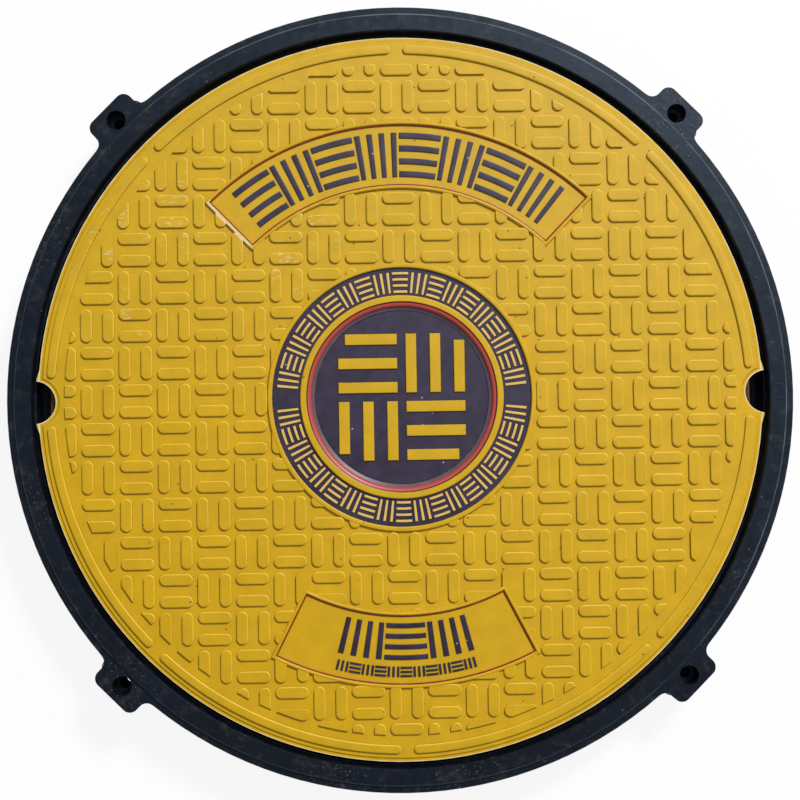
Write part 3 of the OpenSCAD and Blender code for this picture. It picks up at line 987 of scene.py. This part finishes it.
def weave_bars(weave, angle, bars, radial, z):
    """Flat bars of one square of a weave, along the radius or along the arc."""
    strips = []
    step = radians(2)
    square = weave.along / weave.radius if radial else weave.across
    pitch = square / (bars - 1 + weave.fill)
    width = pitch * weave.fill
    for k in range(bars):
        offset = (k - (bars - 1) / 2) * pitch
        if radial:
            middle = angle + offset
            strips.append(arc_strip(weave.radius - weave.across / 2, weave.radius + weave.across / 2,
                                    middle - width / 2, middle + width / 2, z, step))
        else:
            r = weave.radius + offset
            half = weave.along / weave.radius / 2
            strips.append(arc_strip(r - width / 2, r + width / 2, angle - half, angle + half, z, step))
    return strips


class MANHOLE_OT_plate_weave(bpy.types.Operator):
    """Models the dark raised weave ornaments on the two plates"""

    bl_idname = "manhole.plate_weave"
    bl_label = "Plate ornaments"

    def execute(self, context):
        z = props("cover").field_z - SINK
        for name, weave in PLATE_WEAVES.items():
            strips = []
            pitch = (weave.along + weave.gap) / weave.radius
            for k in range(weave.cells):
                angle = weave.middle + (k - (weave.cells - 1) / 2) * pitch
                strips += weave_bars(weave, angle, weave.bars, k % 2 == 0, z)
            ornament = join(strips, name)
            raise_block(ornament, SINK + PLATE_WEAVE_H, weave.rounding, 2)
            dress(ornament, "dark")
        return {"FINISHED"}


# Medallion

class MANHOLE_OT_medallion(bpy.types.Operator):
    """Models the medallion: bead, dark ring, collar, sloping band and dish"""

    bl_idname = "manhole.medallion"
    bl_label = "Medallion"

    def execute(self, context):
        rounding, bead_h = props("plates").bead_round, props("plates").bead_h
        m = props("medallion")
        field = props("cover").field_z
        floor = field - m.moat_depth
        bead = ridge(m.moat_r, m.outer_r, field + bead_h, (floor, field), (rounding, rounding))
        dress(spin_profile("medallion_bead", bead), "yellow")
        collar = ridge(m.band_r, m.collar_r, field + m.collar_h, (field, floor),
                       (rounding / 2, rounding))
        dress(spin_profile("medallion_collar", collar), "yellow")
        ring = flat_band(m.collar_r - LIFT, m.moat_r + LIFT, floor - SINK, floor + LIFT)
        dress(spin_profile("medallion_ring", ring), "dark")
        self.band(m, field)
        self.dish(m, field)
        return {"FINISHED"}

    def slope_top(self, m, field):
        """Height where the sloping band ends and the grey slope begins."""
        return field - m.dish_depth / 2 + 2 * LIFT

    def band(self, m, field):
        """The red line beside the collar and the rounded band inside it."""
        foot_z = self.slope_top(m, field)
        line_r = m.band_r - m.line_w
        line_z = field + m.collar_h + LIFT - m.line_drop
        line = [(m.band_r, line_z), (line_r, line_z - 0.3 * MM), (line_r, foot_z - SINK),
                (m.band_r, foot_z - SINK)]
        # The line's red is darkened with painted shade of the groove beside the collar.
        dress(spin_profile("medallion_line", line), "wine")
        width, drop = line_r - m.edge_r, line_z - 0.2 * MM - foot_z
        quarter = [k * pi / 12 for k in range(7)]
        band = [(m.edge_r, foot_z - SINK)]
        band += [(m.edge_r + width * (1 - cos(a)), foot_z + drop * sin(a)) for a in quarter]
        band.append((line_r + LIFT, foot_z - SINK))
        dress(spin_profile("medallion_band", band), "coral")

    def dish(self, m, field):
        """The grey slope, a black ring at its foot painted as the shade of a gap, and the dish's floor.
        """
        dish_z = field - m.dish_depth
        slope = [(m.edge_r, self.slope_top(m, field) + LIFT), (m.dish_r, dish_z + 0.4 * MM),
                 (m.dish_r, dish_z - SINK), (m.edge_r, dish_z - SINK)]
        dress(spin_profile("medallion_slope", slope), "grey")
        # Painted shade: a flat black ring stands for the shaded gap round the dish's floor.
        gap_r = m.dish_r - m.gap_w
        gap = flat_band(gap_r, m.dish_r + LIFT, dish_z - SINK, dish_z + 4 * LIFT)
        dress(spin_profile("medallion_gap", gap), "black")
        dish = [(0, dish_z + 2 * LIFT), (gap_r - 0.2 * MM, dish_z + 2 * LIFT),
                (gap_r - LIFT, dish_z + LIFT), (gap_r - LIFT, dish_z - SINK), (0, dish_z - SINK)]
        dress(spin_profile("medallion_dish", dish, closed=False), "dark")


RING_WEAVE = Weave(
    radius=94.9 * MM, middle=0.0, cells=40, along=12.6 * MM, across=17.3 * MM,
    bars=4, fill=0.4, gap=0.0, rounding=0.35 * MM)
RING_WEAVE_H = 1.1 * MM
DISH_WEAVE_H = 1.9 * MM


class MANHOLE_OT_medallion_weave(bpy.types.Operator):
    """Models the yellow raised weaves in the medallion's ring and dish"""

    bl_idname = "manhole.medallion_weave"
    bl_label = "Medallion ornaments"

    def execute(self, context):
        m, field = props("medallion"), props("cover").field_z
        cells, z = RING_WEAVE.cells, field - m.moat_depth - SINK
        strips = []
        for k in range(cells):
            if k % (cells // 2) == 0:
                continue
            radial = k % 2 == 1
            bars = RING_WEAVE.bars - 1 if radial else RING_WEAVE.bars
            strips += weave_bars(RING_WEAVE, k * TURN / cells, bars, radial, z)
        ring = join(strips, "ring_weave")
        raise_block(ring, SINK + RING_WEAVE_H, RING_WEAVE.rounding, 2)
        dress(ring, "cream")
        dress(self.dish_weave(field - m.dish_depth), "yellow")
        return {"FINISHED"}

    def dish_weave(self, floor):
        """Two by two squares of straight bars, with the outer corners cut by a circle."""
        square, width, step, limit = 49 * MM, 9 * MM, 56 * MM, 67 * MM
        pitch = (square - width) / 2
        bars = []
        for column in (-0.5, 0.5):
            for row in (-0.5, 0.5):
                upright = column == row
                for k in (-1, 0, 1):
                    x, y = column * step, row * step
                    x, y = (x + k * pitch, y) if upright else (x, y + k * pitch)
                    bpy.ops.object.select_all(action="DESELECT")
                    bpy.ops.mesh.primitive_plane_add(size=1, location=(x, y, floor - SINK))
                    bar = bpy.context.object
                    bar.scale = (width, square, 1) if upright else (square, width, 1)
                    bpy.ops.object.transform_apply(location=True, rotation=True, scale=True)
                    self.clip(bar, limit, upright)
                    bars.append(bar)
        weave = join(bars, "dish_weave")
        return raise_block(weave, SINK + DISH_WEAVE_H, 0.6 * MM, 2)

    def clip(self, bar, limit, upright):
        """Shortens a bar's outer end to where its middle line meets a circle."""
        axis, other = (1, 0) if upright else (0, 1)
        middle = sum((v.co for v in bar.data.vertices), Vector()) / len(bar.data.vertices)
        end = (limit ** 2 - middle[other] ** 2) ** 0.5
        for v in bar.data.vertices:
            if abs(v.co[axis]) > end:
                v.co[axis] = end if v.co[axis] > 0 else -end


# Mouldings

class MANHOLE_OT_mouldings(bpy.types.Operator):
    """Makes the cover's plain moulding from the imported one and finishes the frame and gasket"""

    bl_idname = "manhole.mouldings"
    bl_label = "Cover, frame and gasket"

    def execute(self, context):
        c = props("cover")
        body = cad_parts["cover"].copy()
        body.data = body.data.copy()
        body.parent = None
        for key in list(body.keys()):
            del body[key]
        context.scene.collection.objects.link(body)
        activate(body)
        bpy.ops.mesh.customdata_custom_splitnormals_clear()
        edit(body)
        bpy.ops.mesh.remove_doubles(threshold=1e-6)
        pick(body, "verts", lambda v: v.co.z > c.field_z + LIFT)
        bpy.ops.transform.resize(value=(1, 1, 0), center_override=(0, 0, c.field_z))
        bpy.ops.mesh.select_all(action="SELECT")
        bpy.ops.mesh.remove_doubles(threshold=1e-6)
        bpy.ops.mesh.dissolve_degenerate(threshold=1e-6)
        done(body)
        join([body], "cover_moulding")
        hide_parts("cover")
        dress(body, "yellow")
        for node, finish in (("frame", "black"), ("seat_gasket", "rubber")):
            material, slot_name = paint(finish)
            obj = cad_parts[node]
            obj.data.materials.clear()
            obj.data.materials.append(material)
        return {"FINISHED"}


class MANHOLE_OT_mould_marks(bpy.types.Operator):
    """Models the round mould marks on the frame and the small pads beside its top band"""

    bl_idname = "manhole.mould_marks"
    bl_label = "Mould marks"

    def execute(self, context):
        sizes = props("marks")
        band_z = TOP_Z - sizes.band_drop
        marks = [self.mark(sizes, sizes.top_r, radians(45 * k), TOP_Z) for k in range(8)]
        marks += [self.mark(sizes, sizes.low_r, radians(90 * k + 41.8), band_z) for k in range(4)]
        dress(join(marks, "mould_marks"), "black")
        pads = [self.pad(sizes, radians(45 * k + 22.5), band_z) for k in range(8)]
        dress(join(pads, "edge_pads"), "black")
        return {"FINISHED"}

    def set_down(self, piece, r, angle):
        """Moves a piece made on the Z axis to its place on the frame."""
        piece.data.transform(Matrix.Translation((r * cos(angle), r * sin(angle), 0)))
        return piece

    def mark(self, sizes, r, angle, z):
        """A thin raised circle."""
        outer, inner = sizes.mark_r + sizes.mark_w / 2, sizes.mark_r - sizes.mark_w / 2
        ring = spin_profile("mark", [
            (outer, z - SINK), (outer, z + LIFT), (sizes.mark_r, z + 2.5 * LIFT),
            (inner, z + LIFT), (inner, z - SINK)], steps=40)
        return self.set_down(ring, r, angle)

    def pad(self, sizes, angle, z):
        """A low round pad with a bevelled edge."""
        top, edge = z + sizes.pad_h, sizes.pad_edge
        disc = spin_profile("pad", [
            (0, z - SINK), (sizes.pad_r, z - SINK), (sizes.pad_r, top - edge),
            (sizes.pad_r - edge, top), (0, top)], steps=48, closed=False)
        return self.set_down(disc, sizes.pads_r, angle)


# Stage

PAPER_WHITE = (0.93, 0.93, 0.93, 1)
SKY_WHITE = (0.93, 0.96, 1.0, 1)
FLOOR_GLOW = 0.9                        # how much of the floor's white is its own light
SKY_LIGHT = 0.28
SUN_PLACE = (1.86, 2.86, 4.06)
SKY_PLACE = (0.55, 0.75, 2.6)
CAMERA_DISTANCE = 1.3
CAMERA_LEAN = (-0.0197, -0.0346, 1)     # from the cover towards the camera
CAMERA_ROLL = radians(-0.951)
CAMERA_AIM = (-1.75 * MM, -2.67 * MM, TOP_Z)
VIEW_WIDTH = 660.65 * MM                # what the camera shows from side to side
SENSOR_WIDTH = 36


class MANHOLE_OT_stage(bpy.types.Operator):
    """Adds the floor, the lights and the camera above the cover"""

    bl_idname = "manhole.stage"
    bl_label = "Floor, lights and camera"

    def execute(self, context):
        self.floor()
        self.world()
        self.lamp("sun_side", SUN_PLACE, 0.8, 230)
        self.lamp("sky_panel", SKY_PLACE, 1.6, 7)
        self.camera()
        context.scene.view_settings.view_transform = "Standard"
        return {"FINISHED"}

    def floor(self):
        """A pale floor that shows white to the camera and keeps a faint shadow."""
        bpy.ops.object.select_all(action="DESELECT")
        bpy.ops.mesh.primitive_plane_add(size=14, location=(0, 0, 0))
        floor = bpy.context.object
        floor.name = "floor"
        material = bpy.data.materials.new("floor_white")
        material.use_nodes = True
        tree = material.node_tree
        tree.nodes.clear()
        diffuse = tree.nodes.new("ShaderNodeBsdfDiffuse")
        diffuse.inputs["Color"].default_value = PAPER_WHITE
        glow = tree.nodes.new("ShaderNodeEmission")
        glow.inputs["Strength"].default_value = 1.0
        path = tree.nodes.new("ShaderNodeLightPath")
        seen = tree.nodes.new("ShaderNodeMath")
        seen.operation = "MULTIPLY"
        seen.inputs[1].default_value = FLOOR_GLOW
        mix = tree.nodes.new("ShaderNodeMixShader")
        output = tree.nodes.new("ShaderNodeOutputMaterial")
        links = tree.links
        links.new(path.outputs["Is Camera Ray"], seen.inputs[0])
        links.new(seen.outputs[0], mix.inputs[0])
        links.new(diffuse.outputs[0], mix.inputs[1])
        links.new(glow.outputs[0], mix.inputs[2])
        links.new(mix.outputs[0], output.inputs["Surface"])
        floor.data.materials.append(material)

    def world(self):
        """Even soft light, with white for what the camera sees past the floor."""
        world = bpy.data.worlds.new("studio")
        bpy.context.scene.world = world
        world.use_nodes = True
        tree = world.node_tree
        background = tree.nodes["Background"]
        background.inputs["Color"].default_value = SKY_WHITE
        path = tree.nodes.new("ShaderNodeLightPath")
        strength = tree.nodes.new("ShaderNodeMapRange")
        strength.inputs["To Min"].default_value = SKY_LIGHT
        strength.inputs["To Max"].default_value = 1.0
        tree.links.new(path.outputs["Is Camera Ray"], strength.inputs["Value"])
        tree.links.new(strength.outputs["Result"], background.inputs["Strength"])

    def lamp(self, name, place, width, power):
        """A square area light turned to the cover."""
        data = bpy.data.lights.new(name, "AREA")
        data.size = width
        data.energy = power
        lamp = bpy.data.objects.new(name, data)
        lamp.location = place
        lamp.rotation_euler = (Vector((0, 0, TOP_Z)) - Vector(place)).to_track_quat("-Z", "Y").to_euler()
        bpy.context.scene.collection.objects.link(lamp)

    def camera(self):
        """A camera over the middle that leans a little, as the one in the picture did."""
        data = bpy.data.cameras.new("camera")
        data.sensor_width = SENSOR_WIDTH
        data.lens = SENSOR_WIDTH * CAMERA_DISTANCE / VIEW_WIDTH
        back = Vector(CAMERA_LEAN).normalized()
        right = Vector((-sin(CAMERA_ROLL), cos(CAMERA_ROLL), 0)).cross(back).normalized()
        turn = Matrix((right, back.cross(right), back)).transposed()
        camera = bpy.data.objects.new("camera", data)
        place = Vector(CAMERA_AIM) + CAMERA_DISTANCE * back
        camera.matrix_world = Matrix.Translation(place) @ turn.to_4x4()
        bpy.context.scene.collection.objects.link(camera)
        bpy.context.scene.camera = camera


class MANHOLE_PT_parts(bpy.types.Panel):
    """Lists the steps that build the manhole cover"""

    bl_idname = "MANHOLE_PT_parts"
    bl_label = "Manhole Cover"
    bl_space_type = "VIEW_3D"
    bl_region_type = "UI"
    bl_category = "Manhole Cover"

    def draw(self, context):
        for operator in OPERATORS:
            self.layout.operator(operator.bl_idname)
        for group in GROUPS:
            box = self.layout.box()
            for key in GROUPS[group].__annotations__:
                box.prop(props(group), key)


GROUPS = {
    "cover": CoverSizes,
    "plates": PlateSizes,
    "medallion": MedallionSizes,
    "marks": MarkSizes,
    "colours": FinishColours,
}
OPERATORS = (
    MANHOLE_OT_mouldings,
    MANHOLE_OT_tread,
    MANHOLE_OT_edge_ribs,
    MANHOLE_OT_plates,
    MANHOLE_OT_plate_weave,
    MANHOLE_OT_medallion,
    MANHOLE_OT_medallion_weave,
    MANHOLE_OT_mould_marks,
    MANHOLE_OT_stage,
)


def register():
    for group in GROUPS:
        bpy.utils.register_class(GROUPS[group])
        setattr(bpy.types.Scene, "manhole_" + group, PointerProperty(type=GROUPS[group]))
    for operator in OPERATORS:
        bpy.utils.register_class(operator)
    bpy.utils.register_class(MANHOLE_PT_parts)


def unregister():
    bpy.utils.unregister_class(MANHOLE_PT_parts)
    for operator in reversed(OPERATORS):
        bpy.utils.unregister_class(operator)
    for group in GROUPS:
        delattr(bpy.types.Scene, "manhole_" + group)
        bpy.utils.unregister_class(GROUPS[group])


def main():
    register()
    bpy.ops.object.select_all(action="DESELECT")
    for operator in OPERATORS:
        space, name = operator.bl_idname.split(".")
        getattr(getattr(bpy.ops, space), name)()


if __name__ == "__main__":
    main()
